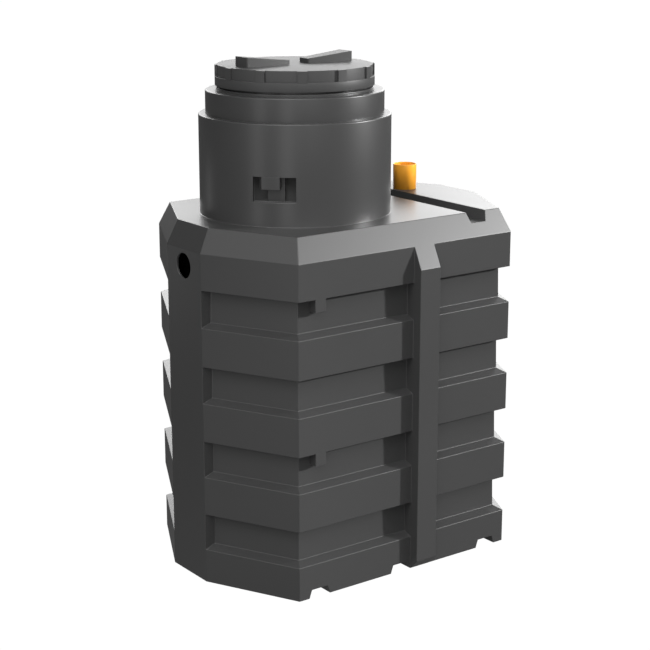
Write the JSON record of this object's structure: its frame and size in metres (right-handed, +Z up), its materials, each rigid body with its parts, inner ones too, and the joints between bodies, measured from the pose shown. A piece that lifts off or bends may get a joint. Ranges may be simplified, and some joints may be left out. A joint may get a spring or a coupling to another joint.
{
  "type": "underground holding tank",
  "caption": "Tall ribbed black plastic tank for burial, with slanted ends, a round access shaft, a lift-off lid with wedge grips, an inlet hole and an orange outlet pipe.",
  "frame": {"origin": "on the ground under the middle of the tank, centred on the tank's length and width", "axes": "+X along the length towards the rear end with the outlet pipe, +Y towards the left side, +Z up"},
  "size_m": [1.574, 1.19, 2.2576],
  "materials": {
    "tank_body": "satin black moulded polyethylene",
    "shaft": "satin black moulded polyethylene",
    "lock": "matt black moulded polyethylene",
    "lid": "satin black moulded polyethylene",
    "outlet_pipe": "orange brown drain pipe"
  },
  "bodies": {
    "tank": {"floor": "tank_body", "right_side_wall_front": "tank_body", "right_side_wall_rear": "tank_body", "left_side_wall_front": "tank_body", "left_side_wall_rear": "tank_body", "front_right_slant_wall": "tank_body", "front_left_slant_wall": "tank_body", "rear_right_slant_wall": "tank_body", "rear_left_slant_wall": "tank_body", "front_pillar": "tank_body", "front_pillar_cheeks": "tank_body", "rear_pillar": "tank_body", "rear_pillar_cheeks": "tank_body", "right_buttress": "tank_body", "right_buttress_cheeks": "tank_body", "left_buttress": "tank_body", "left_buttress_cheeks": "tank_body", "right_upper_lug": "tank_body", "right_lower_lug": "tank_body", "left_upper_lug": "tank_body", "left_lower_lug": "tank_body", "front_deck": "tank_body", "rear_deck": "tank_body", "strap_channel": "tank_body", "outlet_pipe": "outlet_pipe", "neck": "shaft", "neck_rim": "shaft", "lid_seat": "shaft", "shaft": "shaft", "shaft_ledge": "shaft", "collar": "shaft", "collar_ledge": "shaft", "lock_pocket": "lock", "lock_tab": "lock", "lock_post": "lock"},
    "lid": {"lid_plate": "lid", "lid_skirt": "lid", "lid_lugs": "lid", "front_grip": "lid", "rear_grip": "lid"}
  },
  "joints": [
    {"name": "lid_lift", "type": "slide", "parent": "tank", "child": "lid", "axis": [0, 0, 1], "range_m": [0, 0.3]}
  ]
}
